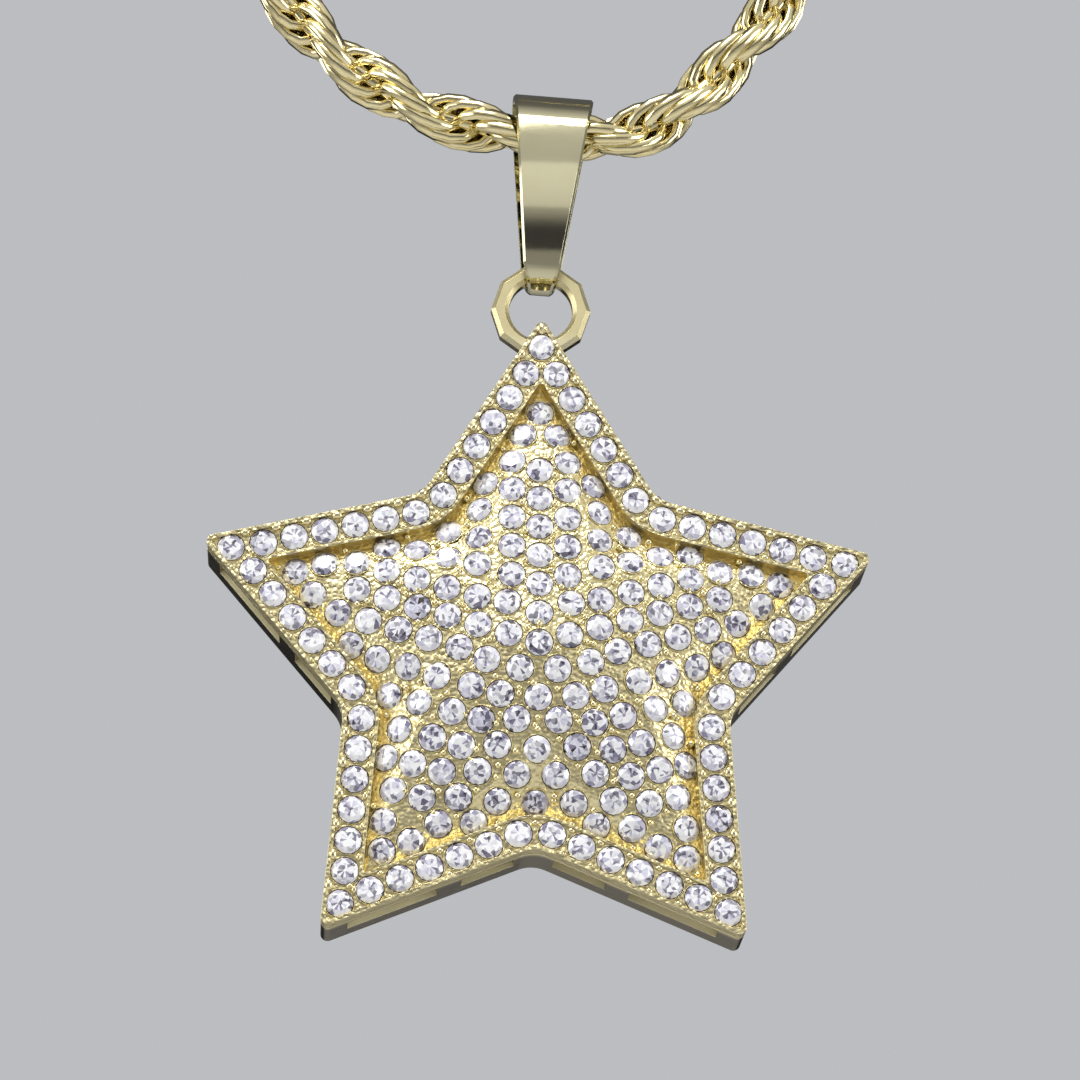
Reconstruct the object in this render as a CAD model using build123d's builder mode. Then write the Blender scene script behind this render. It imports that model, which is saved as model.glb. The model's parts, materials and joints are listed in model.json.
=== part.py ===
"""Star pendant on a rope chain: a cast star set with round cut stones, its bail, its chain and a plain clasp.

Millimetres. The origin is the middle of the clasp, where the chain rests on the nape. +Z is up and the star
faces -Y. Depths of the star are measured along its face's own z, which points out of the face.
"""

from build123d import *
from math import atan2, copysign, cos, degrees, hypot, pi, radians, sin, tan
import os

os.makedirs("parts", exist_ok=True)

# Star outline, from the middle of the face, before its corners are rounded
arm_count = 5
tip_radius = 29.9
notch_radius = 16.9
tip_round = 0.6
tip_round_least = 0.3
notch_round = 3.0

# Star in depth, from the top of its flat border band
band_width = 3.0
band_thickness = 1.4
rim_width = 0.35
rim_height = 0.3
lip_width = 0.25
lip_height = 0.2
star_depth = 5.7
wall = 1.0

# Raised field inside the band: a low star pyramid in two tiers
groove_depth = 1.1
knee_height = 1.4
knee_radius = 9.0
crown_height = 2.75
plate_thickness = 1.4
channel_width = 1.1
field_skirt = 0.7

# Gallery slots through the side walls, as shares of an edge from tip to notch
slot_spans = {"long": (0.13, 0.55), "short": (0.66, 0.91)}
slot_front = 1.5
slot_back = 3.7
slot_overcut = 0.25

# Round cut stones and their seats
stone_diameter = 2.2
stone_sides = 8
stone_crown = 0.38
stone_table = 0.58
stone_pavilion = 0.75
stone_rise = 0.06
seat_clearance = 0.05
stone_gap = 0.12

# Stone layout: the border row, then the field in pitches
row_inset = 1.55
row_pitch = 2.62
notch_pair_gap = 2.8
tip_pair_gap = 2.6
tip_stone_inset = 2.65
stone_pitch = 2.67

# Columns of field stones in one arm, in pitches: distance from the arm's axis, first height, how many
field_columns = [
    {"across": 0.0, "first": 1.0, "count": 6},
    {"across": 0.88, "first": 2.322, "count": 5},
    {"across": 1.91, "first": 3.652, "count": 2},
    {"across": 1.715, "first": 5.6, "count": 1},
]
# Field stones at the arm's tip, in pitches: distance from the axis, distance below the field's tip
field_tip_group = [
    {"across": 0.0, "below": 0.99},
    {"across": 0.543, "below": 1.775},
]
# Field stones on the line to each notch, in pitches: distance from the middle
field_valley = [1.704, 3.315, 4.869]

# Nub at the top tip: its middle lies in from the outline's sharp corner
nub_radius = 0.55
nub_inset = 0.95

# Ring behind the top tip: its middle lies above the outline's sharp corner
ring_outer = 4.3
ring_hole = 2.75
ring_width = 1.6
ring_sides = 10
ring_bevel = 0.35
ring_rise = 1.6
ring_depth = 2.6

# Chain and bail
chain_diameter = 5.0
chain_clearance = 0.4
strap = 0.5
bail_drop = 13.2
bail_lean = 3.0
bail_top_width = 7.1
bail_foot_width = 3.3
bail_tongue_width = 2.0
bail_bevel = 0.2
foot_inner_radius = 1.6
foot_lift = 0.35

# Clasp
clasp_length = 14.0
clasp_diameter = 6.4
clasp_bevel = 0.6
clasp_gap = 0.1

# Half of the chain's route, from the clasp over the shoulder; the other half is its mirror image
neck_route = [
    (clasp_length / 2 + clasp_gap, 0, 0),
    (18, 0, 0),
    (36, -7, -3),
    (54, -25, -9),
    (65, -52, -20),
    (65, -80, -42),
    (59.5, -101, -70),
    (52, -113, -98),
    (44.5, -118, -123),
    (37, -119, -143),
]
# Where the bail hangs on the chain, and the route of each side there, from that point
bail_point = (0, -119, -187)
drop_right = [(29, 0, 28), (23, 0, 17.5), (17.7, 0, 9.9), (12.6, 0, 3.8), (6.9, 0, -0.36)]
drop_left = [(-6.5, 0, 0.34), (-12.6, 0, 2.5), (-19, 0, 6.9), (-24.6, 0, 13.4), (-30.2, 0, 25)]


# Share of the shorter run beside a corner that the chain's arc takes there
arc_share = 0.45

# Places nearer to each other than this are the same
same_place = 0.01


# Planes: the star's face, and the bail seen from the front and from the side
lean = radians(bail_lean)
bail_up = Vector(sin(lean), 0, cos(lean))
bail_right = Vector(cos(lean), 0, -sin(lean))
forward = Vector(0, -1, 0)
chain_middle = Vector(*bail_point)
ring_wire = chain_middle - bail_up * bail_drop
ring_flat = ring_outer * cos(pi / ring_sides)
ring_height = tip_radius + ring_rise
wire_height = ring_height + (ring_flat + ring_hole) / 2
star_middle = ring_wire - Vector(0, 0, wire_height) + forward * ring_depth
face = Plane(origin=star_middle, x_dir=(1, 0, 0), z_dir=forward)
bail_front = Plane(origin=chain_middle, x_dir=bail_right, z_dir=forward)
bail_side = Plane(origin=chain_middle, x_dir=forward, z_dir=-bail_right)

# Outline: one edge runs from a tip to a notch, and everything inside follows its direction
half_arm = pi / arm_count
notch = (notch_radius * sin(half_arm), notch_radius * cos(half_arm))
edge_length = hypot(notch[0], tip_radius - notch[1])
edge_along = (notch[0] / edge_length, (notch[1] - tip_radius) / edge_length)
edge_out = (-edge_along[1], edge_along[0])
edge_distance = edge_out[1] * tip_radius
notch_share = edge_out[0] * sin(half_arm) + edge_out[1] * cos(half_arm)


def turned(x, y, arm):
    """A place in the upright arm, turned to another arm."""
    angle = -2 * half_arm * arm
    return (x * cos(angle) - y * sin(angle), x * sin(angle) + y * cos(angle))


def all_arms(x, y):
    """A place in the upright arm with its mirror image, repeated in every arm."""
    sides = (x, -x) if x > same_place else (x,)
    return [turned(side, y, arm) for arm in range(arm_count) for side in sides]


def corner_radii(inset):
    """Tip and notch radius of the outline moved inwards by inset."""
    return (edge_distance - inset) / edge_out[1], (edge_distance - inset) / notch_share


def star_corners(inset):
    """The outline's corners moved inwards by inset, tips and notches in turn."""
    tip, dent = corner_radii(inset)
    corners = []
    for arm in range(arm_count):
        corners.append(turned(0, tip, arm))
        corners.append(turned(dent * sin(half_arm), dent * cos(half_arm), arm))
    return corners


def draw_star(inset, mode=Mode.ADD):
    """The rounded star outline moved inwards by inset, drawn in the sketch that is open."""
    tip, dent = corner_radii(inset)
    with BuildSketch(Plane.XY, mode=Mode.PRIVATE) as outline:
        Polygon(*star_corners(inset), align=None)
        between = (tip + dent) / 2
        tips = outline.vertices().filter_by(lambda v: Vector(v).length > between)
        fillet(tips, max(tip_round - inset, tip_round_least))
        dents = outline.vertices().filter_by(lambda v: Vector(v).length < between)
        fillet(dents, notch_round + inset)
    add(outline.sketch, mode=mode)


# Field surface: in half an arm it is the lowest of three planes through these corners
field_tip, field_notch = corner_radii(band_width)
apex = (0, 0, crown_height)
knee_ridge = (0, knee_radius, knee_height)
knee_valley = (knee_radius * sin(half_arm), knee_radius * cos(half_arm), knee_height)
base_tip = (0, field_tip, -groove_depth)
base_notch = (field_notch * sin(half_arm), field_notch * cos(half_arm), -groove_depth)
skirt_tip, skirt_notch = corner_radii(band_width - field_skirt)
field_facets = [
    (apex, knee_valley, knee_ridge),
    (knee_ridge, knee_valley, base_tip),
    (knee_valley, base_notch, base_tip),
]


def facet_normal(corners):
    """Unit normal of a facet, pointing out of the face."""
    a, b, c = (Vector(*corner) for corner in corners)
    normal = (b - a).cross(c - a).normalized()
    return normal if normal.Z > 0 else -normal


def field_height(x, y):
    """Height of the field at a place on the face."""
    angle = abs((atan2(x, y) + half_arm) % (2 * half_arm) - half_arm)
    place = Vector(hypot(x, y) * sin(angle), hypot(x, y) * cos(angle))
    heights = []
    for corners in field_facets:
        start = Vector(*corners[0])
        normal = facet_normal(corners)
        heights.append(start.Z - normal.dot(place - Vector(start.X, start.Y)) / normal.Z)
    return min(heights)


def field_seat(x, y):
    """Where a field stone sits: level with the metal under it and square to it."""
    reach = stone_diameter / 2
    right, left = field_height(x + reach, y), field_height(x - reach, y)
    high, low = field_height(x, y + reach), field_height(x, y - reach)
    slope = Vector((left - right) / (2 * reach), (low - high) / (2 * reach), 1)
    height = (right + left + high + low) / 4 + stone_rise
    return Plane(origin=(x, y, height), x_dir=(1, 0, -slope.X), z_dir=slope)


def border_seat(x, y):
    """Where a border stone sits: flat on the band."""
    return Plane(origin=(x, y, stone_rise), x_dir=(1, 0, 0), z_dir=(0, 0, 1))


def apart(place, others):
    """Whether a stone at this place clears the stones at the other places."""
    return all(hypot(place[0] - x, place[1] - y) >= stone_diameter + stone_gap for x, y in others)


def in_field(x, y):
    """Whether a place in the upright arm leaves room for a seat inside the field's own outline."""
    return edge_out[0] * x + edge_out[1] * y + stone_diameter / 2 <= edge_distance - row_inset


# Border row: a stone in each tip, and a line of stones along each edge, evenly spaced from notch to tip
row_distance = edge_distance - row_inset
row_foot = (edge_out[0] * row_distance, edge_out[1] * row_distance)
valley_fall = edge_along[0] * cos(half_arm) - edge_along[1] * sin(half_arm)
row_start = (row_foot[1] * sin(half_arm) - row_foot[0] * cos(half_arm) - notch_pair_gap / 2) / valley_fall
row_end = (tip_pair_gap / 2 - row_foot[0]) / edge_along[0]
row_steps = round((row_start - row_end) / row_pitch)
border_places = all_arms(0, tip_radius - tip_stone_inset)
for step in range(row_steps + 1):
    along = row_start + (row_end - row_start) * step / row_steps
    border_places += all_arms(row_foot[0] + edge_along[0] * along, row_foot[1] + edge_along[1] * along)

# Field: one stone in the middle, then each arm's tip, columns and valley, where a stone has room
field_places = [(0, 0)]
wanted = [(row["across"] * stone_pitch, field_tip - row["below"] * stone_pitch) for row in field_tip_group]
for column in field_columns:
    for step in range(column["count"]):
        wanted.append((column["across"] * stone_pitch, (column["first"] + step) * stone_pitch))
for pitches in field_valley:
    wanted.append((pitches * stone_pitch * sin(half_arm), pitches * stone_pitch * cos(half_arm)))
for x, y in wanted:
    if in_field(x, y) and apart((x, y), border_places):
        for place in all_arms(x, y):
            if apart(place, field_places):
                field_places.append(place)


def on_face(plane):
    """A plane given on the star's face, as a location in the whole part."""
    return face.location * plane.location


border_locations = [on_face(border_seat(x, y)) for x, y in border_places]
field_locations = [on_face(field_seat(x, y)) for x, y in field_places]


stone_radius = stone_diameter / 2
stone_flat = cos(pi / stone_sides)


def leaning_facets(outer, inner, height):
    """Planes that lean in from each side of a polygon to a smaller one, a height above or below it."""
    planes = []
    for side in range(stone_sides):
        angle = 2 * pi * (side + 0.5) / stone_sides
        edge = Vector(cos(angle), sin(angle), 0) * outer * stone_flat
        lean_in = (outer - inner) * stone_flat
        slope = Vector(cos(angle) * abs(height), sin(angle) * abs(height), copysign(lean_in, height))
        planes.append(Plane(origin=edge, z_dir=slope))
    return planes


# Stone: a block cut by a ring of crown facets round the table, and a ring of pavilion facets to a point
crown_facets = leaning_facets(stone_radius, stone_radius * stone_table, stone_crown)
pavilion_facets = leaning_facets(stone_radius, 0, -stone_pavilion)
with BuildPart() as stone:
    with Locations((0, 0, stone_crown - stone_diameter)):
        Box(2 * stone_diameter, 2 * stone_diameter, 2 * stone_diameter)
    for facet in crown_facets + pavilion_facets:
        split(bisect_by=facet, keep=Keep.BOTTOM)

# A seat clears the stone all round: its point below, and a straight way up for it to drop in
seat_radius = stone_radius + seat_clearance
seat_depth = stone_pavilion + 2 * seat_clearance
seat_way = stone_crown + lip_height + rim_height
with BuildPart() as seat:
    with BuildSketch(Plane.XY.offset(seat_way)):
        RegularPolygon(seat_radius, stone_sides)
    extrude(amount=-seat_way - 2 * seat_depth)
    for facet in leaning_facets(seat_radius, 0, -seat_depth):
        split(bisect_by=facet, keep=Keep.BOTTOM)

# One half arm of the field and of the hollow under it, cut from a wedge by the three facet planes
bottom = -groove_depth - plate_thickness


def field_wedge(lowered):
    """Half an arm of the field's block, its three facets lowered by a thickness."""
    with BuildPart() as wedge:
        with BuildSketch(Plane.XY.offset(bottom)):
            notch_end = (skirt_notch * sin(half_arm), skirt_notch * cos(half_arm))
            Polygon((0, 0), notch_end, (0, skirt_tip), align=None)
        extrude(amount=crown_height - bottom)
        for corners in field_facets:
            start = Vector(*corners[0]) - Vector(0, 0, lowered)
            split(bisect_by=Plane(origin=start, z_dir=facet_normal(corners)), keep=Keep.BOTTOM)
    return wedge.part


def whole_field(lowered):
    """The field's block: the wedge, its mirror image, and both in every arm."""
    wedge = field_wedge(lowered)
    with BuildPart() as block:
        with PolarLocations(0, arm_count):
            add(wedge)
            add(mirror(wedge, about=Plane.YZ, mode=Mode.PRIVATE))
    return block.part


def slot_places(span):
    """Middles and turns of the slots that lie at this span of every edge."""
    middle = edge_length * sum(span) / 2
    x = edge_along[0] * middle - edge_out[0] * wall / 2
    y = tip_radius + edge_along[1] * middle - edge_out[1] * wall / 2
    places = []
    for arm in range(arm_count):
        for side in (1, -1):
            place = turned(side * x, y, arm)
            direction = turned(side * edge_along[0], edge_along[1], arm)
            places.append(Location(place + (0,), degrees(atan2(direction[1], direction[0]))))
    return places


# Ring: flat facets outside, a round hole, and bevels on every edge
with BuildPart() as ring:
    with BuildSketch(face.offset(-ring_depth - ring_width / 2)):
        with Locations((0, ring_height)):
            RegularPolygon(ring_outer, ring_sides)
            Circle(ring_hole, mode=Mode.SUBTRACT)
    extrude(amount=ring_width)
    chamfer(ring.faces().filter_by(Axis.Y).edges(), ring_bevel)

# Star: band and walls, rim, lip, field, hollow back, gallery slots, ring, nub, and a seat for every stone
with BuildPart() as star_frame:
    with BuildSketch(face.offset(-star_depth)):
        draw_star(0)
    extrude(amount=star_depth)
    with BuildSketch(face):
        draw_star(0)
        draw_star(rim_width, mode=Mode.SUBTRACT)
    extrude(amount=rim_height)
    with BuildSketch(face):
        draw_star(band_width - lip_width)
        draw_star(band_width, mode=Mode.SUBTRACT)
    extrude(amount=lip_height)
    with BuildSketch(face.offset(bottom)):
        draw_star(band_width)
    extrude(amount=-bottom, mode=Mode.SUBTRACT)
    add(whole_field(0).moved(face.location))
    with BuildSketch(face.offset(-star_depth)):
        draw_star(wall)
    extrude(amount=star_depth + bottom, mode=Mode.SUBTRACT)
    with BuildSketch(face.offset(bottom)):
        draw_star(wall)
        draw_star(wall + channel_width, mode=Mode.SUBTRACT)
    extrude(amount=-bottom - band_thickness, mode=Mode.SUBTRACT)
    add(whole_field(plate_thickness).moved(face.location), mode=Mode.SUBTRACT)
    with BuildSketch(face.offset(-slot_back)):
        for span in slot_spans.values():
            with Locations(*slot_places(span)):
                Rectangle(edge_length * (span[1] - span[0]), wall + 2 * slot_overcut)
    extrude(amount=slot_back - slot_front, mode=Mode.SUBTRACT)
    with Locations(on_face(Plane(origin=(0, tip_radius - nub_inset, 0)))):
        Sphere(nub_radius)
    add(ring.part)
    add([seat.part.moved(place) for place in border_locations + field_locations], mode=Mode.SUBTRACT)

star_frame.part.label = "star_frame"
export_step(star_frame.part, "parts/star_frame.step")

# Stones: the border row, and the field
with BuildPart() as border_stones:
    with Locations(border_locations):
        add(stone.part)
border_stones.part.label = "border_stones"
export_step(border_stones.part, "parts/border_stones.step")

with BuildPart() as field_stones:
    with Locations(field_locations):
        add(stone.part)
field_stones.part.label = "field_stones"
export_step(field_stones.part, "parts/field_stones.step")

# Bail: a strap folded round the chain at the top and under the ring's wire at the foot
top_radius = chain_diameter / 2 + chain_clearance + strap
foot_radius = foot_inner_radius + strap
foot_height = foot_lift - bail_drop


def on_bail_outline(edge):
    """Whether an edge of the strap runs along its outer surface."""
    middle = edge @ 0.5
    across = (middle - chain_middle).dot(bail_right)
    on_outline = bail_outline.distance_to(Vertex(middle - bail_right * across)) < same_place
    return on_outline and edge.length > 2 * strap


with BuildPart() as bail:
    with BuildSketch(bail_side) as bail_loop:
        Circle(top_radius)
        with Locations((0, foot_height)):
            Circle(foot_radius)
        make_hull()
        offset(amount=-strap, mode=Mode.SUBTRACT)
    extrude(amount=bail_top_width / 2, both=True)
    with BuildSketch(bail_front):
        with BuildLine():
            right = [
                (bail_top_width / 2, top_radius),
                (bail_foot_width / 2, foot_height),
                (bail_tongue_width / 2, foot_height - foot_radius),
            ]
            Polyline(*right, *[(-x, y) for x, y in reversed(right)], close=True)
        make_face()
    extrude(amount=top_radius, both=True, mode=Mode.INTERSECT)
    bail_outline = bail_loop.sketch.face().outer_wire()
    long_edges = bail.edges().filter_by(on_bail_outline)
    chamfer(long_edges, bail_bevel)
bail.part.label = "bail"
export_step(bail.part, "parts/bail.step")

# Chain: the whole loop as a tube of straight runs joined by arcs
neck_other = [(-x, y, z) for x, y, z in reversed(neck_route)]
front = [chain_middle + Vector(*place) for place in drop_right + drop_left]
route = [Vector(*place) for place in neck_route] + front + [Vector(*place) for place in neck_other]


def bend_radii(places):
    """Radius at each corner: its arc takes its share of the shorter run beside it."""
    radii = []
    for before, corner, after in zip(places, places[1:], places[2:]):
        turn = radians((corner - before).get_angle(after - corner))
        shorter = min((corner - before).length, (after - corner).length)
        radii.append(arc_share * shorter / tan(turn / 2))
    return radii


with BuildPart() as rope_chain:
    with BuildLine() as path:
        FilletPolyline(*route, radius=bend_radii(route))
    with BuildSketch(Plane(origin=path.line @ 0, z_dir=path.line % 0)) as section:
        Circle(chain_diameter / 2)
    sweep()
rope_chain.part.label = "rope_chain"
export_step(rope_chain.part, "parts/rope_chain.step")

# Clasp: a plain barrel that both ends of the chain meet
with BuildPart() as clasp:
    with BuildSketch(Plane.YZ.offset(-clasp_length / 2)):
        Circle(clasp_diameter / 2)
    extrude(amount=clasp_length)
    chamfer(clasp.edges().filter_by(GeomType.CIRCLE), clasp_bevel)
clasp.part.label = "clasp"
export_step(clasp.part, "parts/clasp.step")

chain_length = sum(edge.length for edge in path.edges())
print("bend radii", [round(radius, 1) for radius in bend_radii(route)])
print("loop", round(chain_length + clasp_length + 2 * clasp_gap, 1), "mm")
print("chain volume against section times length", rope_chain.part.volume / (section.sketch.area * chain_length))
print("stones", len(border_places), len(field_places))
for piece in (star_frame, border_stones, field_stones, bail, rope_chain, clasp):
    print(piece.part.label, len(piece.part.solids()), "solids", round(piece.part.volume, 1), "mm3")
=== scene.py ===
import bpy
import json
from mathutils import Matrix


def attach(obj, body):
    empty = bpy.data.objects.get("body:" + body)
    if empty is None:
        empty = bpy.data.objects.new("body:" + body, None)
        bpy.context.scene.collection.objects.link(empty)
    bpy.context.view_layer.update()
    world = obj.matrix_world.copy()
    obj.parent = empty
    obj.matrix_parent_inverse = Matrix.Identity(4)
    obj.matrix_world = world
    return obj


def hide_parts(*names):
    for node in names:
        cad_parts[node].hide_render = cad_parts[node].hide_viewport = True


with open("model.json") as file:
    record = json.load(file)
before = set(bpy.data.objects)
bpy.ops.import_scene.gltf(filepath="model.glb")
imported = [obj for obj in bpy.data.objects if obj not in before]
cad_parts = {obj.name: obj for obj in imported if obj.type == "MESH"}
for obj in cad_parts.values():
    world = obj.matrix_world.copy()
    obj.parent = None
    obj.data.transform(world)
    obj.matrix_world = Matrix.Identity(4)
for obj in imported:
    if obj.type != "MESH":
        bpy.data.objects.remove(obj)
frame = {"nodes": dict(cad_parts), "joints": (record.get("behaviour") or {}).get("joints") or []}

"""Looks of the star necklace: gold, cut stones in their settings, and the links of the rope chain.

Metres, in the part's own frame: +Z up, the star faces -Y, the origin is the middle of the clasp.
Sizes that a jeweller would give in millimetres are written as such, times MM.
"""

import json
import math

import bpy
import numpy as np
from mathutils import Matrix, Vector
from mathutils.geometry import delaunay_2d_cdt

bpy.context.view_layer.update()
MM = 0.001
chance = np.random.default_rng(11)

# Places on the star, from its joint: the ring's wire, and the middle of the face below and before it
RING_WIRE = np.array(next(j["pos_m"] for j in frame["joints"] if j["name"] == "star_swing"))
WIRE_HEIGHT = 34.92 * MM
RING_DEPTH = 2.6 * MM
STAR_MIDDLE = RING_WIRE + np.array([0, -RING_DEPTH, -WIRE_HEIGHT])
OUT = np.array([0.0, -1.0, 0.0])

# Cut stones
STONE_RADIUS = 1.15 * MM
STONE_TABLE = 0.62
STONE_SHOULDER = 0.84
# The girdle flares out to this radius into a dark rim: painted shade in the gap between stone and seat.
SHADE_RIM_RADIUS = 1.2 * MM
CROWN = 0.38 * MM
PAVILION = 0.75 * MM
CAD_STONE_TRIANGLES = 30
SPOT_SHARE = 0.2
SHOULDER_HEIGHT = 0.6
GIRDLE_TOP = 0.02 * MM
# Depth of the rim of painted shade below the girdle.
SHADE_RIM_DEPTH = 0.04 * MM

# Light in the stones: shares of white and dark facets, dim stones, dark spots and shaded facets that look down
WHITE_FACETS = 0.55
DARK_FACETS = 0.88
DIM_STONES = 0.04
DARK_SPOTS = 0.4
SHADED_FACETS = 0.4
LOOKS_DOWN = -0.55

# Settings: a collar round each stone, beads where three stones meet, grains between two
COLLAR_RADIUS = 1.25 * MM
COLLAR_WIRE = 0.065 * MM
COLLAR_STEPS = 16
COLLAR_SIDES = 3
BEAD_MOST = 0.33 * MM
GRAIN_RADIUS = 0.15 * MM
BEAD_SUNK = 0.16 * MM
GRAIN_LIFT = 0.03 * MM
NEIGHBOURS = 3.0 * MM
WIDEST_GAP = 1.85 * MM
RIM_BEAD = np.array([0.5, 0.34, 0.3]) * MM
LIP_BEAD = np.array([0.36, 0.24, 0.22]) * MM
RIM_AWAY = 1.12 * MM
RIM_LIFT = 0.1 * MM
LIP_AWAY = 1.0 * MM

# Gold: radius of worn edges, and the bail's crown over its middle, in slope to the metre
EDGE_ROUND = 0.07 * MM
BAIL_MIDDLE = -0.1944
BAIL_CROWN = 20.0
RING_FOOT = 6.0 * MM

# Rope: oval links, each turned and moved on from the one before; where its strands lie one above the other
LINK_WIRE = 1.25 * MM
LINK_FLATNESS = 0.8
LINK_HALF_LENGTH = 3.1 * MM
LINK_HALF_WIDTH = 1.99 * MM
LINK_FULLNESS = 0.9
LINK_PITCH = 1.5 * MM
LINK_STEPS = 14
LINK_SIDES = 5
HEART_RADIUS = 0.8 * MM
HEART_STEP = 2.5 * MM
HEART_SIDES = 8
ROPE_TWIST = math.pi / (8.45 * MM)
LINK_LAY = 0.12
STRANDS_STACKED = np.array([0.0006, -0.119, -0.187])
STACKED_TURN = math.radians(71.5)
NECK_MIDDLE = -0.06

# Route of the chain, half of it from the clasp over the shoulder, then each side of the bail
HALF_ROUTE = [
    (0.0071, 0, 0),
    (0.018, 0, 0),
    (0.036, -0.007, -0.003),
    (0.054, -0.025, -0.009),
    (0.065, -0.052, -0.02),
    (0.065, -0.08, -0.042),
    (0.0595, -0.101, -0.07),
    (0.052, -0.113, -0.098),
    (0.0445, -0.118, -0.123),
    (0.037, -0.119, -0.143),
]
BAIL_POINT = (0, -0.119, -0.187)
DROP_RIGHT = [
    (0.029, 0, 0.028),
    (0.023, 0, 0.0175),
    (0.0177, 0, 0.0099),
    (0.0126, 0, 0.0038),
    (0.0069, 0, -0.00036),
]
DROP_LEFT = [
    (-0.0065, 0, 0.00034),
    (-0.0126, 0, 0.0025),
    (-0.019, 0, 0.0069),
    (-0.0246, 0, 0.0134),
    (-0.0302, 0, 0.025),
]

# Camera: where the face's middle lies in the picture, and how the face is turned from it
PICTURE = 1080
LENS = 150.0
FILM = 36.0
VIEW_TILT = math.radians(18.5)
VIEW_ROLL = math.radians(1.6)
VIEW_YAW = math.radians(-2.6)
FACE_DISTANCE = 0.3767
FACE_PIXEL = (537.6, 651.8)

# Studio: the floor, how bright the room is by height, what the camera sees of it, and the soft lights with their
# places, sizes and powers
FLOOR_HEIGHT = -0.8
FLOOR_REACH = 4.0
ROOM = [
    (0.0, (0.05, 0.05, 0.06)),
    (0.04, (0.1, 0.1, 0.11)),
    (0.12, (0.36, 0.36, 0.36)),
    (0.3, (0.5, 0.5, 0.5)),
    (1.0, (0.8, 0.8, 0.8)),
]
BACKDROP = (0.5, 0.51, 0.53)
LIGHTS = [
    ("key", (-0.15, -0.62, 0.6), 0.45, 5.4),
    ("front", (0.05, -0.96, 0.087), 0.3, 0.1),
    ("left", (-0.8, -0.45, -0.1), 0.6, 3.0),
    ("right", (0.8, -0.5, -0.2), 0.6, 3.0),
    ("back_left", (-0.7, 0.45, -0.1), 0.4, 1.6),
    ("back_right", (0.7, 0.45, 0.0), 0.4, 1.6),
]


# Meshes

def mesh_of(name, points, faces, smooth):
    """A mesh object from an array of points and an array, or arrays, of faces."""
    sets = faces if isinstance(faces, list) else [faces]
    mesh = bpy.data.meshes.new(name)
    mesh.from_pydata(points.reshape(-1, 3).tolist(), [], [face for rows in sets for face in rows.tolist()])
    mesh.polygons.foreach_set("use_smooth", np.full(len(mesh.polygons), smooth))
    mesh.update()
    piece = bpy.data.objects.new(name, mesh)
    bpy.context.scene.collection.objects.link(piece)
    return piece


def grid_faces(rows, columns, wrap_rows):
    """Quads of a grid of points whose columns close on themselves, and whose rows may too."""
    row, column = np.meshgrid(np.arange(rows if wrap_rows else rows - 1), np.arange(columns), indexing="ij")
    following, beside = (row + 1) % rows, (column + 1) % columns
    near, far = row * columns, following * columns
    corners = [near + column, near + beside, far + beside, far + column]
    return np.stack(corners, -1).reshape(-1, 4)


def closed_faces(rings, sides):
    """Faces of rings of points that close at both ends on a point of their own, the first end's point first."""
    i = np.arange(sides)
    beside, last = (i + 1) % sides, rings * sides
    first_cap = np.stack([beside, i, np.full(sides, last)], 1)
    last_cap = np.stack([last - sides + i, last - sides + beside, np.full(sides, last + 1)], 1)
    return [grid_faces(rings, sides, False), np.concatenate([first_cap, last_cap])]


def repeated(faces, copies, size):
    """The same faces for each copy of a shape that has this many points."""
    return (faces[None] + (np.arange(copies) * size)[:, None, None]).reshape(-1, faces.shape[1])


def axes_on(normals, spin):
    """Right, up and out of each place on the face: out is its normal, and right is turned by its spin."""
    right = np.cross([0.0, 0.0, 1.0], -normals)
    right /= np.linalg.norm(right, axis=1, keepdims=True)
    up = np.cross(normals, right)
    turn, lift = np.cos(spin)[:, None], np.sin(spin)[:, None]
    return np.stack([right * turn + up * lift, up * turn - right * lift, normals], 1)


def placed(points, centres, axes):
    """Copies of a shape: each point times the axes of its place, from that place's centre."""
    return centres[:, None] + np.einsum("pk,nkc->npc", points, axes)


def finish_piece(piece, body, slot, material, *nodes):
    """Gives a new piece its material and its body, and hides the nodes that it stands for."""
    piece.data.materials.append(material)
    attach(piece, body)
    if nodes:
        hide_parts(*nodes)


# Seats, read from the frame's stones

def seats(node):
    """Centre of the girdle and the way out of each stone of a node, from its flat table and its point."""
    mesh = frame["nodes"][node].data
    mesh.calc_loop_triangles()
    corners = np.zeros(len(mesh.loop_triangles) * 3, np.int32)
    mesh.loop_triangles.foreach_get("vertices", corners)
    places = np.zeros(len(mesh.vertices) * 3)
    mesh.vertices.foreach_get("co", places)
    solids = places.reshape(-1, 3)[corners].reshape(-1, CAD_STONE_TRIANGLES, 3, 3)
    across = np.cross(solids[:, :, 1] - solids[:, :, 0], solids[:, :, 2] - solids[:, :, 0])
    across /= np.linalg.norm(across, axis=2, keepdims=True)
    alike = np.einsum("nac,nbc->nab", across, across) > 0.9999
    table = np.argmax(alike.sum(2), axis=1)
    out = across[np.arange(len(solids)), table]
    out *= np.sign(out @ OUT)[:, None]
    points = solids.reshape(len(solids), -1, 3)
    deepest = np.argmin(np.einsum("npc,nc->np", points, out), axis=1)
    return points[np.arange(len(solids)), deepest] + out * PAVILION, out


# Materials

def shader(name):
    """A new material with its nodes and its surface shader."""
    material = bpy.data.materials.new(name)
    material.use_nodes = True
    return material, material.node_tree, material.node_tree.nodes["Principled BSDF"]


def noise(tree, scale, detail=3.0):
    """Noise on Object coordinates, at this many waves to the metre."""
    where = tree.nodes.new("ShaderNodeTexCoord")
    texture = tree.nodes.new("ShaderNodeTexNoise")
    texture.inputs["Scale"].default_value = scale
    texture.inputs["Detail"].default_value = detail
    tree.links.new(where.outputs["Object"], texture.inputs["Vector"])
    return texture.outputs["Fac"]


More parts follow.
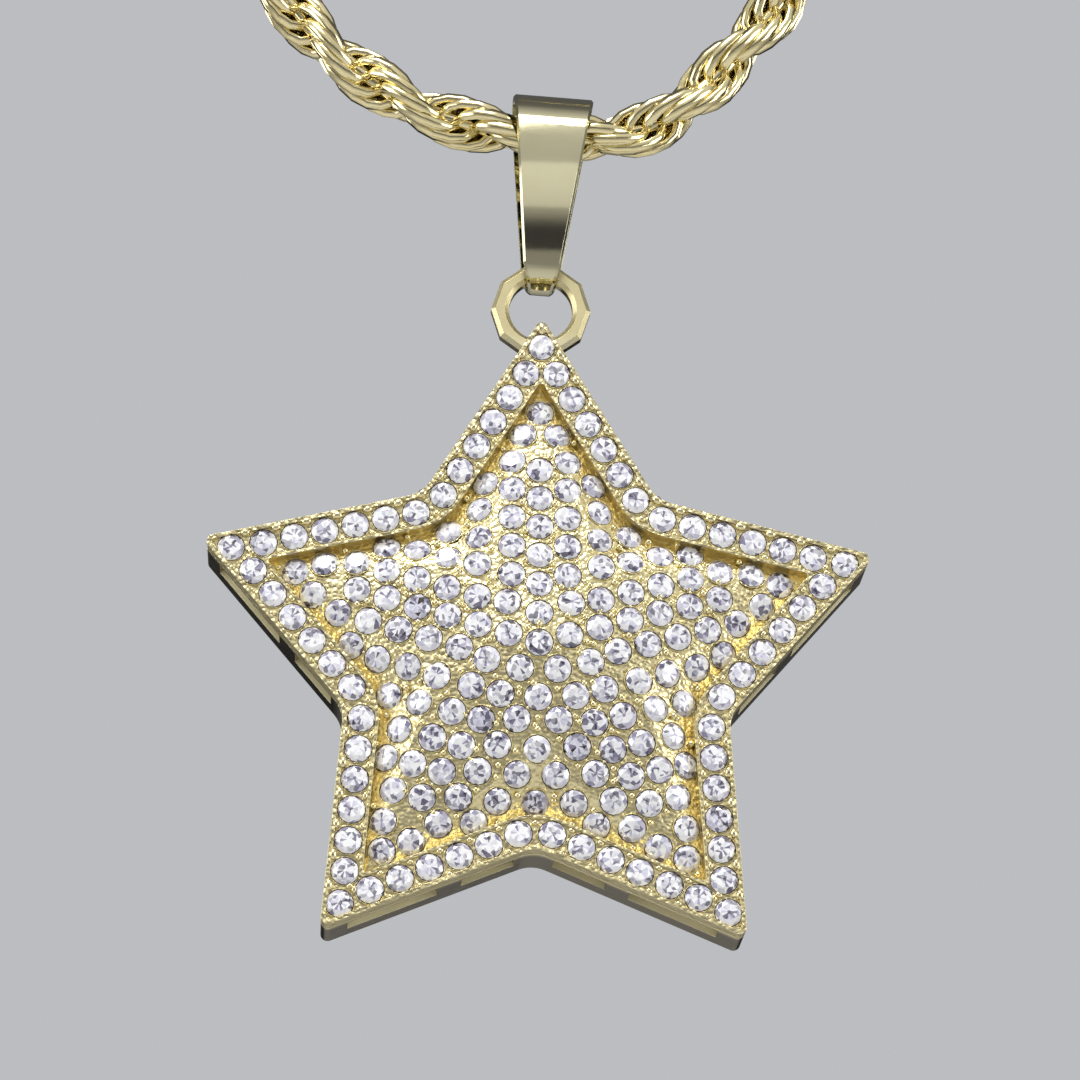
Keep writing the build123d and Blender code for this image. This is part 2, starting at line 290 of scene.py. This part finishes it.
def cells(tree, scale):
    """Small cells on Object coordinates, at this many to the metre: their distances and colours."""
    where = tree.nodes.new("ShaderNodeTexCoord")
    texture = tree.nodes.new("ShaderNodeTexVoronoi")
    texture.inputs["Scale"].default_value = scale
    tree.links.new(where.outputs["Object"], texture.inputs["Vector"])
    return texture.outputs


def ramp(tree, value, stops):
    """Colours or greys along a value; each stop is a place and a colour."""
    node = tree.nodes.new("ShaderNodeValToRGB")
    ends = node.color_ramp.elements
    while len(ends) < len(stops):
        ends.new(1.0)
    for end, (place, colour) in zip(ends, stops):
        end.position = place
        end.color = (*colour, 1)
    tree.links.new(value, node.inputs["Fac"])
    return node.outputs["Color"]


def mixed(tree, share, first, second):
    """First colour where the share is 0, second where it is 1."""
    node = tree.nodes.new("ShaderNodeMix")
    node.data_type = "RGBA"
    for value, socket in ((share, node.inputs[0]), (first, node.inputs[6]), (second, node.inputs[7])):
        if isinstance(value, tuple):
            socket.default_value = (*value, 1)
        else:
            tree.links.new(value, socket)
    return node.outputs[2]


def spread(tree, value, low, high, start=0.0, end=1.0):
    """A value that goes from start to end, spread between low and high."""
    node = tree.nodes.new("ShaderNodeMapRange")
    for socket, number in (("From Min", start), ("From Max", end), ("To Min", low), ("To Max", high)):
        node.inputs[socket].default_value = number
    tree.links.new(value, node.inputs["Value"])
    return node.outputs["Result"]


def multiplied(tree, first, second):
    """Product of two colours."""
    node = tree.nodes.new("ShaderNodeMix")
    node.data_type = "RGBA"
    node.blend_type = "MULTIPLY"
    node.inputs[0].default_value = 1.0
    tree.links.new(first, node.inputs[6])
    tree.links.new(second, node.inputs[7])
    return node.outputs[2]


def split(tree, kind):
    """X, Y and Z of the Object or Generated coordinates, or of the normal."""
    where = tree.nodes.new("ShaderNodeTexCoord")
    node = tree.nodes.new("ShaderNodeSeparateXYZ")
    tree.links.new(where.outputs[kind], node.inputs["Vector"])
    return node.outputs


def sums(tree, operation, first, second):
    """One step of arithmetic on two values, the second of which may be a number."""
    node = tree.nodes.new("ShaderNodeMath")
    node.operation = operation
    tree.links.new(first, node.inputs[0])
    if isinstance(second, float):
        node.inputs[1].default_value = second
    else:
        tree.links.new(second, node.inputs[1])
    return node.outputs[0]


def bumped(tree, surface, height, distance, edge=None):
    """Raises a surface by a height pattern, and rounds its edges where a radius is given."""
    node = tree.nodes.new("ShaderNodeBump")
    node.inputs["Distance"].default_value = distance
    node.inputs["Strength"].default_value = 1.0
    tree.links.new(height, node.inputs["Height"])
    if edge:
        rounded = tree.nodes.new("ShaderNodeBevel")
        rounded.samples = 4
        rounded.inputs["Radius"].default_value = edge
        tree.links.new(rounded.outputs["Normal"], node.inputs["Normal"])
    tree.links.new(node.outputs["Normal"], surface.inputs["Normal"])


def polished_gold(name, light, deep, low, high, waves, relief):
    """Gold plating: two golds in soft patches, uneven polish, and a faint cast or drawn texture."""
    material, tree, surface = shader(name)
    patches = noise(tree, waves)
    surface.inputs["Metallic"].default_value = 1.0
    tree.links.new(mixed(tree, patches, light, deep), surface.inputs["Base Color"])
    tree.links.new(spread(tree, noise(tree, waves * 4), low, high), surface.inputs["Roughness"])
    bumped(tree, surface, noise(tree, waves * 9, 4.0), relief)
    return material


def cast_gold():
    """The star's gold: pale and pebbled on the band and the field, painted shade as a deeper orange gold down in
    the groove and between the stones, smooth and deeper on the ring, a painted dark reflection on the walls and
    the back, and a painted highlight, rougher, on the slots' sills."""
    material, tree, surface = shader("cast_gold")
    face, foot = STAR_MIDDLE[1], RING_WIRE[2] - RING_FOOT
    place = split(tree, "Object")
    depth = spread(tree, place["Y"], 0.0, 1.0, face - 0.5 * MM, face + 1.5 * MM)
    below = spread(tree, place["Z"], 1.0, 0.0, foot - 0.5 * MM, foot + 0.5 * MM)
    behind = spread(tree, place["Y"], 0.0, 1.0, face + 1.4 * MM, face + 2.0 * MM)
    # Painted light: the sills of the slots, facing forward, get a bright colour, a painted highlight, and more
    # roughness.
    painted_lit_sill = sums(tree, "MULTIPLY", behind, spread(tree, split(tree, "Normal")["Y"], 1.0, 0.0, -0.9, -0.5))
    # Painted shade: the gold is a deeper orange where it lies sunk in the groove and between the stones.
    sunk = ramp(tree, depth, [(0.3, (0, 0, 0)), (0.5, (1, 1, 1)), (0.8, (1, 1, 1)), (0.9, (0, 0, 0))])
    front = sums(tree, "MULTIPLY", below, ramp(tree, depth, [(0.8, (1, 1, 1)), (0.9, (0, 0, 0))]))
    pale = mixed(tree, noise(tree, 700.0), (0.93, 0.83, 0.49), (0.85, 0.73, 0.39))
    groove_shade = mixed(tree, noise(tree, 900.0), (0.9, 0.79, 0.46), (0.82, 0.68, 0.34))
    surface.inputs["Metallic"].default_value = 1.0
    smooth = mixed(tree, noise(tree, 600.0), (0.78, 0.7, 0.42), (0.64, 0.56, 0.31))
    # Painted shade: the walls and the back are painted dark, for polished metal that shows dark surroundings.
    painted_dark_walls = mixed(tree, noise(tree, 800.0), (0.26, 0.22, 0.12), (0.2, 0.16, 0.08))
    star = mixed(tree, behind, mixed(tree, sunk, pale, groove_shade), mixed(tree, painted_lit_sill, painted_dark_walls, (1.0, 0.95, 0.68)))
    tree.links.new(mixed(tree, below, smooth, star), surface.inputs["Base Color"])
    polish = sums(tree, "ADD", sums(tree, "MULTIPLY", front, 0.12), spread(tree, noise(tree, 2500.0), 0.12, 0.24))
    polish = sums(tree, "ADD", polish, sums(tree, "MULTIPLY", painted_lit_sill, 0.4))
    tree.links.new(polish, surface.inputs["Roughness"])
    pebbles = sums(tree, "MULTIPLY", sums(tree, "MULTIPLY", cells(tree, 2500.0)["Distance"], front), -1.0)
    height = sums(tree, "ADD", pebbles, sums(tree, "MULTIPLY", noise(tree, 500.0, 2.0), 0.2))
    bumped(tree, surface, height, 0.09 * MM, EDGE_ROUND)
    return material


def bail_gold():
    """The bail's plating: smooth, very slightly crowned along its length, so that light fades down the strap."""
    material, tree, surface = shader("bail_gold")
    from_middle = sums(tree, "SUBTRACT", split(tree, "Object")["Z"], BAIL_MIDDLE)
    crown = sums(tree, "MULTIPLY", sums(tree, "MULTIPLY", from_middle, from_middle), -BAIL_CROWN)
    height = sums(tree, "ADD", crown, sums(tree, "MULTIPLY", noise(tree, 420.0), 0.003 * MM))
    surface.inputs["Metallic"].default_value = 1.0
    plating = mixed(tree, noise(tree, 260.0), (0.72, 0.68, 0.46), (0.64, 0.59, 0.38))
    tree.links.new(plating, surface.inputs["Base Color"])
    tree.links.new(spread(tree, noise(tree, 1800.0), 0.06, 0.12), surface.inputs["Roughness"])
    bumped(tree, surface, height, 1.0, EDGE_ROUND)
    return material


def crystal():
    """Cut glass on dark foil, its light painted into its colour: each facet has a painted tone, from white
    highlight to violet grey, under a clear polish.
    """
    material, tree, surface = shader("crystal")
    tone = tree.nodes.new("ShaderNodeAttribute")
    tone.attribute_name = "painted_facet_light"
    facets = ramp(tree, tone.outputs["Fac"], [
        (0.0, (0.05, 0.035, 0.03)),
        (0.3, (0.28, 0.26, 0.38)),
        (0.6, (0.73, 0.72, 0.84)),
        (0.85, (1, 1, 1)),
    ])
    # Painted glints: small cells of reflected light inside the stone, darker and lighter, over the facet tones.
    painted_glints = ramp(tree, cells(tree, 2600.0)["Color"], [
        (0.16, (0.22, 0.21, 0.26)),
        (0.32, (0.85, 0.85, 0.87)),
        (0.5, (1, 1, 1)),
    ])
    tree.links.new(multiplied(tree, facets, painted_glints), surface.inputs["Base Color"])
    surface.inputs["Metallic"].default_value = 0.1
    surface.inputs["Roughness"].default_value = 0.14
    surface.inputs["Coat Weight"].default_value = 1.0
    surface.inputs["Coat Roughness"].default_value = 0.03
    surface.inputs["Coat IOR"].default_value = 1.6
    return material


# Stones

def brilliant():
    """Points and faces of one brilliant: rings of points at the spot under the table, the table, the shoulder
    of the crown, the girdle above and below its edge, and the point of the pavilion. Each ring is its radius
    times the cosine and sine of its angles."""
    eighths = np.arange(8) * math.pi / 4
    sixteenths = np.arange(16) * math.pi / 8

    def ring(radius, height, angles):
        return np.stack([radius * np.cos(angles), radius * np.sin(angles), np.full(len(angles), height)], 1)

    spot = ring(SPOT_SHARE * STONE_TABLE * STONE_RADIUS, CROWN, sixteenths)
    table = ring(STONE_TABLE * STONE_RADIUS, CROWN, eighths)
    beside = ring(STONE_TABLE * STONE_RADIUS * math.cos(math.pi / 8), CROWN, eighths + math.pi / 8)
    edge = np.stack([table, beside], 1).reshape(-1, 3)
    shoulder = ring(STONE_SHOULDER * STONE_RADIUS, SHOULDER_HEIGHT * CROWN, eighths + math.pi / 8)
    girdle = ring(STONE_RADIUS, GIRDLE_TOP, sixteenths)
    # A ring just wider than the girdle: the rim of painted shade between stone and seat.
    under = ring(SHADE_RIM_RADIUS, -SHADE_RIM_DEPTH, sixteenths)
    point = np.array([[0, 0, -PAVILION]])
    points = np.concatenate([spot, edge, shoulder, girdle, under, point])
    i, j = np.arange(16), np.arange(8)
    nxt, jump = (i + 1) % 16, (j + 1) % 8
    wedges = np.stack([i, 16 + i, 16 + nxt, nxt], 1)
    star = np.stack([16 + 2 * j, 32 + j, 16 + 2 * jump, 16 + 2 * j + 1], 1)
    kites = np.stack([16 + 2 * jump, 32 + j, 40 + 2 * jump, 32 + jump], 1)
    skew = np.concatenate([
        np.stack([32 + j, 40 + 2 * j, 40 + 2 * j + 1], 1),
        np.stack([32 + j, 40 + 2 * j + 1, 40 + 2 * jump], 1),
    ])
    band = np.stack([40 + i, 56 + i, 56 + nxt, 40 + nxt], 1)
    below = np.stack([56 + 2 * j, np.full(8, 72), 56 + 2 * jump, 56 + 2 * j + 1], 1)
    return points, {
        "spot": i[None],
        "wedges": wedges,
        "star": star,
        "kites": kites,
        "skew": skew,
        "band": band,
        "below": below,
    }


def painted_facet_lights(copies, facets, points, spin):
    """A painted tone of reflected light for every facet of every stone: mostly white highlight, some grey, a few
    dark, and painted shade where a facet looks down. The spot in the middle is a dark painted reflection in some
    stones, and each stone has its own share of light. The tones go kind by kind and stone after stone, as the
    faces lie in the mesh."""
    light = chance.uniform(0.0, 0.12, (copies, 1))
    light += np.where(chance.uniform(0, 1, (copies, 1)) < DIM_STONES, 0.2, 0.0)
    tones = []
    for kind, rows in facets.items():
        draw = chance.uniform(0, 1, (copies, len(rows)))
        white, grey = chance.uniform(0.85, 1.0, draw.shape), chance.uniform(0.55, 0.82, draw.shape)
        tone = np.where(draw < WHITE_FACETS, white, grey)
        tone = np.where(draw > DARK_FACETS, chance.uniform(0.2, 0.45, draw.shape), tone)
        middle = points[rows].mean(1)
        down = np.sin(np.arctan2(middle[:, 1], middle[:, 0])[None] + spin[:, None]) < LOOKS_DOWN
        if kind in ("kites", "skew"):
            tone = np.where(down & (chance.uniform(0, 1, draw.shape) < SHADED_FACETS), tone * 0.5, tone)
        if kind == "spot":
            tone = np.where(draw < DARK_SPOTS, 0.4, 0.92)
        # The band and the faces below it are painted black: painted shade in the gap between stone and seat.
        if kind in ("band", "below"):
            tone = np.zeros(draw.shape)
        tones.append(tone - light)
    return np.clip(np.concatenate([tone.reshape(-1) for tone in tones]), 0, 1)


def crystals(name, node):
    """Every stone of a node as a brilliant, spun at random about its own axis."""
    centres, out = seats(node)
    spin = chance.uniform(0, 2 * math.pi, len(centres))
    points, facets = brilliant()
    stones = placed(points, centres, axes_on(out, spin))
    faces = [repeated(rows, len(centres), len(points)) for rows in facets.values()]
    piece = mesh_of(name, stones, faces, False)
    tone = piece.data.attributes.new("painted_facet_light", "FLOAT", "FACE")
    tone.data.foreach_set("value", painted_facet_lights(len(centres), facets, points, spin).astype(np.float32))
    finish_piece(piece, "star", "crystal", MATERIALS["crystal"], node)
    return centres, out


# Settings

def collars(name, centres, out):
    """A half sunk wire round each stone: a torus, the ring radius plus the wire times cosine, wire times sine."""
    steps = np.arange(COLLAR_STEPS) * 2 * math.pi / COLLAR_STEPS
    sides = np.arange(COLLAR_SIDES) * 2 * math.pi / COLLAR_SIDES + math.pi / 2
    around, wire = np.meshgrid(steps, sides, indexing="ij")
    radius = COLLAR_RADIUS + COLLAR_WIRE * np.cos(wire)
    torus = np.stack([radius * np.cos(around), radius * np.sin(around), COLLAR_WIRE * np.sin(wire)], -1)
    points = placed(torus.reshape(-1, 3), centres, axes_on(out, np.zeros(len(centres))))
    faces = repeated(grid_faces(COLLAR_STEPS, COLLAR_SIDES, True), len(centres), COLLAR_STEPS * COLLAR_SIDES)
    finish_piece(mesh_of(name, points, faces, True), "star", "polished_gold", MATERIALS["cast_gold"])


def bead(sides=8, rings=4):
    """A bead of radius 1, closed: rings of points at the cosine and sine of their height, and one at each pole."""
    heights = (np.arange(rings) + 1) * math.pi / (rings + 1) - math.pi / 2
    height, around = np.meshgrid(heights, np.arange(sides) * 2 * math.pi / sides, indexing="ij")
    ball = np.stack([np.cos(height) * np.cos(around), np.cos(height) * np.sin(around), np.sin(height)], -1)
    return np.concatenate([ball.reshape(-1, 3), [[0, 0, -1], [0, 0, 1]]]), closed_faces(rings, sides)


def beads(name, centres, axes):
    """A bead at each place, as long, wide and high as its axes there."""
    points, sets = bead()
    faces = [repeated(rows, len(centres), len(points)) for rows in sets]
    piece = mesh_of(name, placed(points, centres, axes), faces, True)
    finish_piece(piece, "star", "polished_gold", MATERIALS["bead_gold"])


def neighbours(centres):
    """Triangles of stones that lie next to each other, and the pairs that are their sides."""
    flat = [Vector((x, z)) for x, _, z in centres]
    corners = np.array(delaunay_2d_cdt(flat, [], [], 0, 1e-9)[2])
    sides = np.sort(np.concatenate([corners[:, [0, 1]], corners[:, [1, 2]], corners[:, [2, 0]]]), 1)
    pairs = np.unique(sides, axis=0)
    return corners, pairs[np.linalg.norm(centres[pairs[:, 0]] - centres[pairs[:, 1]], axis=1) < NEIGHBOURS]


def around_centre(corners):
    """Circle through three places: its middle, from their sides' squares, and its radius."""
    a, b, c = corners[:, 0], corners[:, 1], corners[:, 2]
    ab, ac = b - a, c - a
    normal = np.cross(ab, ac)
    ab_square, ac_square, square = [(way ** 2).sum(1, keepdims=True) for way in (ab, ac, normal)]
    middle = np.cross(ab_square * ac - ac_square * ab, normal) / (-2 * square)
    return a + middle, np.linalg.norm(middle, axis=1)


def field_beads(centres, out):
    """A bead in each gap between three stones, as large as it lets, and a grain between each two stones."""
    corners, pairs = neighbours(centres)
    middles, radii = around_centre(centres[corners])
    room = radii - STONE_RADIUS - COLLAR_WIRE
    kept = (radii < WIDEST_GAP) & (room > GRAIN_RADIUS)
    way = out[corners[kept]].mean(1)
    way /= np.linalg.norm(way, axis=1, keepdims=True)
    size = np.minimum(room[kept], BEAD_MOST) * chance.uniform(0.85, 1.0, kept.sum())
    beads("field_beads", middles[kept] - way * BEAD_SUNK, axes_on(way, np.zeros(len(way))) * size[:, None, None])
    between = centres[pairs].mean(1)
    way = out[pairs].mean(1)
    way /= np.linalg.norm(way, axis=1, keepdims=True)
    beads("field_grains", between + way * GRAIN_LIFT, axes_on(way, np.zeros(len(way))) * GRAIN_RADIUS)


def rim_beads(centres, out):
    """Beads on both sides of the border row: from the middle between two stones, square to the row."""
    from_middle = centres - STAR_MIDDLE
    order = np.argsort(np.arctan2(from_middle[:, 0], from_middle[:, 2]))
    ahead = np.roll(order, -1)
    middle = (centres[order] + centres[ahead]) / 2
    along = centres[ahead] - centres[order]
    along /= np.linalg.norm(along, axis=1, keepdims=True)
    away = np.cross(along, OUT)
    away *= np.sign((away * (middle - STAR_MIDDLE)).sum(1))[:, None]
    axes = np.stack([along, away, np.tile(OUT, (len(along), 1))], 1)
    uneven = chance.uniform(0.88, 1.06, (len(along), 1, 1))
    smooth = np.where(away[:, 2] < -0.2, 0.6, 1.0)[:, None, None]
    beads("rim_beads", middle + away * RIM_AWAY + OUT * RIM_LIFT, axes * RIM_BEAD[:, None] * uneven * smooth)
    beads("lip_beads", middle - away * LIP_AWAY, axes * LIP_BEAD[:, None] * uneven)


# Rope chain

def smooth_route():
    """Points read from the smooth line that the chosen route points control."""
    right = HALF_ROUTE + [tuple(np.add(BAIL_POINT, place)) for place in DROP_RIGHT]
    left = [tuple(np.add(BAIL_POINT, place)) for place in DROP_LEFT]
    places = right + left + [(-x, y, z) for x, y, z in reversed(HALF_ROUTE)]
    curve = bpy.data.curves.new("route", "CURVE")
    curve.dimensions = "3D"
    curve.resolution_u = 24
    line = curve.splines.new("NURBS")
    line.points.add(len(places) - 1)
    line.points.foreach_set("co", np.array([(*place, 1) for place in places]).ravel())
    line.order_u = 3
    line.use_endpoint_u = True
    holder = bpy.data.objects.new("route", curve)
    mesh = bpy.data.meshes.new_from_object(holder)
    points = np.zeros(len(mesh.vertices) * 3)
    mesh.vertices.foreach_get("co", points)
    bpy.data.objects.remove(holder)
    bpy.data.curves.remove(curve)
    bpy.data.meshes.remove(mesh)
    return points.reshape(-1, 3)


def rope_places(route, step):
    """Places at even steps along the route: how far each is beyond the one where the strands are stacked, its
    centre, the way ahead, outward from the neck, and beside these two."""
    lengths = np.concatenate([[0], np.cumsum(np.linalg.norm(np.diff(route, axis=0), axis=1))])
    count = round(lengths[-1] / step)
    where = (np.arange(count) + 0.5) * lengths[-1] / count
    slopes = np.gradient(route, lengths, axis=0)
    centres = np.stack([np.interp(where, lengths, route[:, axis]) for axis in range(3)], 1)
    ahead = np.stack([np.interp(where, lengths, slopes[:, axis]) for axis in range(3)], 1)
    ahead /= np.linalg.norm(ahead, axis=1, keepdims=True)
    outward = centres * [1, 1, 0] - [0, NECK_MIDDLE, 0]
    outward -= (outward * ahead).sum(1, keepdims=True) * ahead
    outward /= np.linalg.norm(outward, axis=1, keepdims=True)
    stacked = lengths[np.argmin(np.linalg.norm(route - STRANDS_STACKED, axis=1))]
    return where - stacked, centres, ahead, outward, np.cross(ahead, outward)


def rope_links(route):
    """Oval links along the route. A link's own line is its half length times cosine along the rope, and its half
    width times sine, raised to its fullness, across it. Each link is turned on from the last, and its sides
    follow the lay. A flattened wire goes round that line."""
    beyond, centres, ahead, outward, beside = rope_places(route, LINK_PITCH)
    angle = (np.arange(LINK_STEPS) + 0.5) * 2 * math.pi / LINK_STEPS
    along = LINK_HALF_LENGTH * np.cos(angle)
    across = LINK_HALF_WIDTH * np.sign(np.sin(angle)) * np.abs(np.sin(angle)) ** LINK_FULLNESS
    turn = STACKED_TURN + ROPE_TWIST * (beyond[:, None] + LINK_LAY * along[None])
    radial = outward[:, None] * np.cos(turn)[..., None] + beside[:, None] * np.sin(turn)[..., None]
    line = centres[:, None] + ahead[:, None] * along[None, :, None] + radial * across[None, :, None]
    way = np.roll(line, -1, 1) - np.roll(line, 1, 1)
    way /= np.linalg.norm(way, axis=2, keepdims=True)
    side = np.cross(ahead[:, None], radial)
    side -= (side * way).sum(2, keepdims=True) * way
    side /= np.linalg.norm(side, axis=2, keepdims=True)
    other = np.cross(way, side)
    wire = np.arange(LINK_SIDES) * 2 * math.pi / LINK_SIDES
    points = line[:, :, None] + LINK_WIRE / 2 * (
        side[:, :, None] * np.cos(wire)[:, None] + other[:, :, None] * LINK_FLATNESS * np.sin(wire)[:, None])
    faces = repeated(grid_faces(LINK_STEPS, LINK_SIDES, True), len(centres), LINK_STEPS * LINK_SIDES)
    piece = mesh_of("rope_links", points, faces, True)
    finish_piece(piece, "necklace", "chain_gold", MATERIALS["chain_gold"], "rope_chain")


def rope_heart(route):
    """The heart of the rope, where the ends of the links press together: circles along the route, each its radius
    times cosine outward and times sine beside, closed at both ends."""
    _, centres, _, outward, beside = rope_places(route, HEART_STEP)
    angle = np.arange(HEART_SIDES)[:, None] * 2 * math.pi / HEART_SIDES
    rings = centres[:, None] + HEART_RADIUS * (outward[:, None] * np.cos(angle) + beside[:, None] * np.sin(angle))
    points = np.concatenate([rings.reshape(-1, 3), centres[[0, -1]]])
    piece = mesh_of("rope_heart", points, closed_faces(len(centres), HEART_SIDES), True)
    finish_piece(piece, "necklace", "chain_gold", MATERIALS["chain_gold"])


# Stage

def softbox(name, place, size, power):
    """A square soft light at a place, aimed at the star."""
    light = bpy.data.lights.new(name, "AREA")
    light.energy = power
    light.size = size
    lamp = bpy.data.objects.new(name, light)
    lamp.location = place
    lamp.rotation_euler = (Vector(STAR_MIDDLE) - Vector(place)).to_track_quat("-Z", "Y").to_euler()
    bpy.context.scene.collection.objects.link(lamp)


def studio():
    """A plain pale floor, soft lights round the star, and a room that is dim at eye level and behind the star and
    lighter overhead, which the camera sees as plain grey."""
    world = bpy.data.worlds.new("room")
    world.use_nodes = True
    tree = world.node_tree
    way = split(tree, "Generated")
    room = multiplied(tree, ramp(tree, way["Z"], ROOM), spread(tree, way["Y"], 1.0, 0.2, -0.3, 0.3))
    rays = tree.nodes.new("ShaderNodeLightPath")
    seen = mixed(tree, rays.outputs["Is Camera Ray"], room, BACKDROP)
    tree.links.new(seen, tree.nodes["Background"].inputs["Color"])
    bpy.context.scene.world = world
    corners = np.array([(-1, -1), (1, -1), (1, 1), (-1, 1)]) * FLOOR_REACH
    floor = mesh_of("floor", np.column_stack([corners, np.full(4, FLOOR_HEIGHT)]), np.arange(4)[None], False)
    material, tree, surface = shader("floor")
    surface.inputs["Base Color"].default_value = (0.74, 0.74, 0.75, 1)
    surface.inputs["Roughness"].default_value = 0.7
    floor.data.materials.append(material)
    for light in LIGHTS:
        softbox(*light)
    bpy.context.scene.view_settings.view_transform = "Standard"


def camera():
    """The camera: the face is tilted, turned and rolled from its axes, and its middle lies on its pixel."""
    cos, sin = math.cos(VIEW_TILT), math.sin(VIEW_TILT)
    tilt = np.array([[1, 0, 0], [0, cos, -sin], [0, sin, cos]])
    cos, sin = math.cos(VIEW_YAW), math.sin(VIEW_YAW)
    yaw = np.array([[cos, 0, sin], [0, 1, 0], [-sin, 0, cos]])
    cos, sin = math.cos(VIEW_ROLL), math.sin(VIEW_ROLL)
    roll = np.array([[cos, sin, 0], [-sin, cos, 0], [0, 0, 1]])
    right, up, ahead = (roll @ yaw @ tilt)[:, [0, 2, 1]]
    focal = LENS / FILM * PICTURE
    aside = (FACE_PIXEL[0] - PICTURE / 2) * FACE_DISTANCE / focal
    above = (PICTURE / 2 - FACE_PIXEL[1]) * FACE_DISTANCE / focal
    place = STAR_MIDDLE - right * aside - up * above - ahead * FACE_DISTANCE
    data = bpy.data.cameras.new("camera")
    data.lens = LENS
    data.sensor_width = FILM
    data.clip_start = 0.01
    holder = bpy.data.objects.new("camera", data)
    turned = Matrix(np.column_stack([right, up, -ahead]).tolist())
    holder.matrix_world = Matrix.LocRotScale(Vector(place), turned, None)
    bpy.context.scene.collection.objects.link(holder)
    bpy.context.scene.camera = holder


MATERIALS = {
    "crystal": crystal(),
    "cast_gold": cast_gold(),
    "bead_gold": polished_gold("bead_gold", (0.93, 0.84, 0.51), (0.87, 0.76, 0.42), 0.12, 0.26, 900.0, 0.01 * MM),
    "bail_gold": bail_gold(),
    "chain_gold": polished_gold("chain_gold", (0.92, 0.82, 0.5), (0.87, 0.74, 0.38), 0.1, 0.24, 500.0, 0.006 * MM),
}

for node, material in (("star_frame", "cast_gold"), ("bail", "bail_gold"), ("clasp", "chain_gold")):
    frame["nodes"][node].data.materials.clear()
    frame["nodes"][node].data.materials.append(MATERIALS[material])

border_centres, border_out = crystals("border_crystals", "border_stones")
field_centres, field_out = crystals("field_crystals", "field_stones")
collars("border_collars", border_centres, border_out)
collars("field_collars", field_centres, field_out)
field_beads(field_centres, field_out)
rim_beads(border_centres, border_out)
chain_route = smooth_route()
rope_links(chain_route)
rope_heart(chain_route)
studio()
camera()
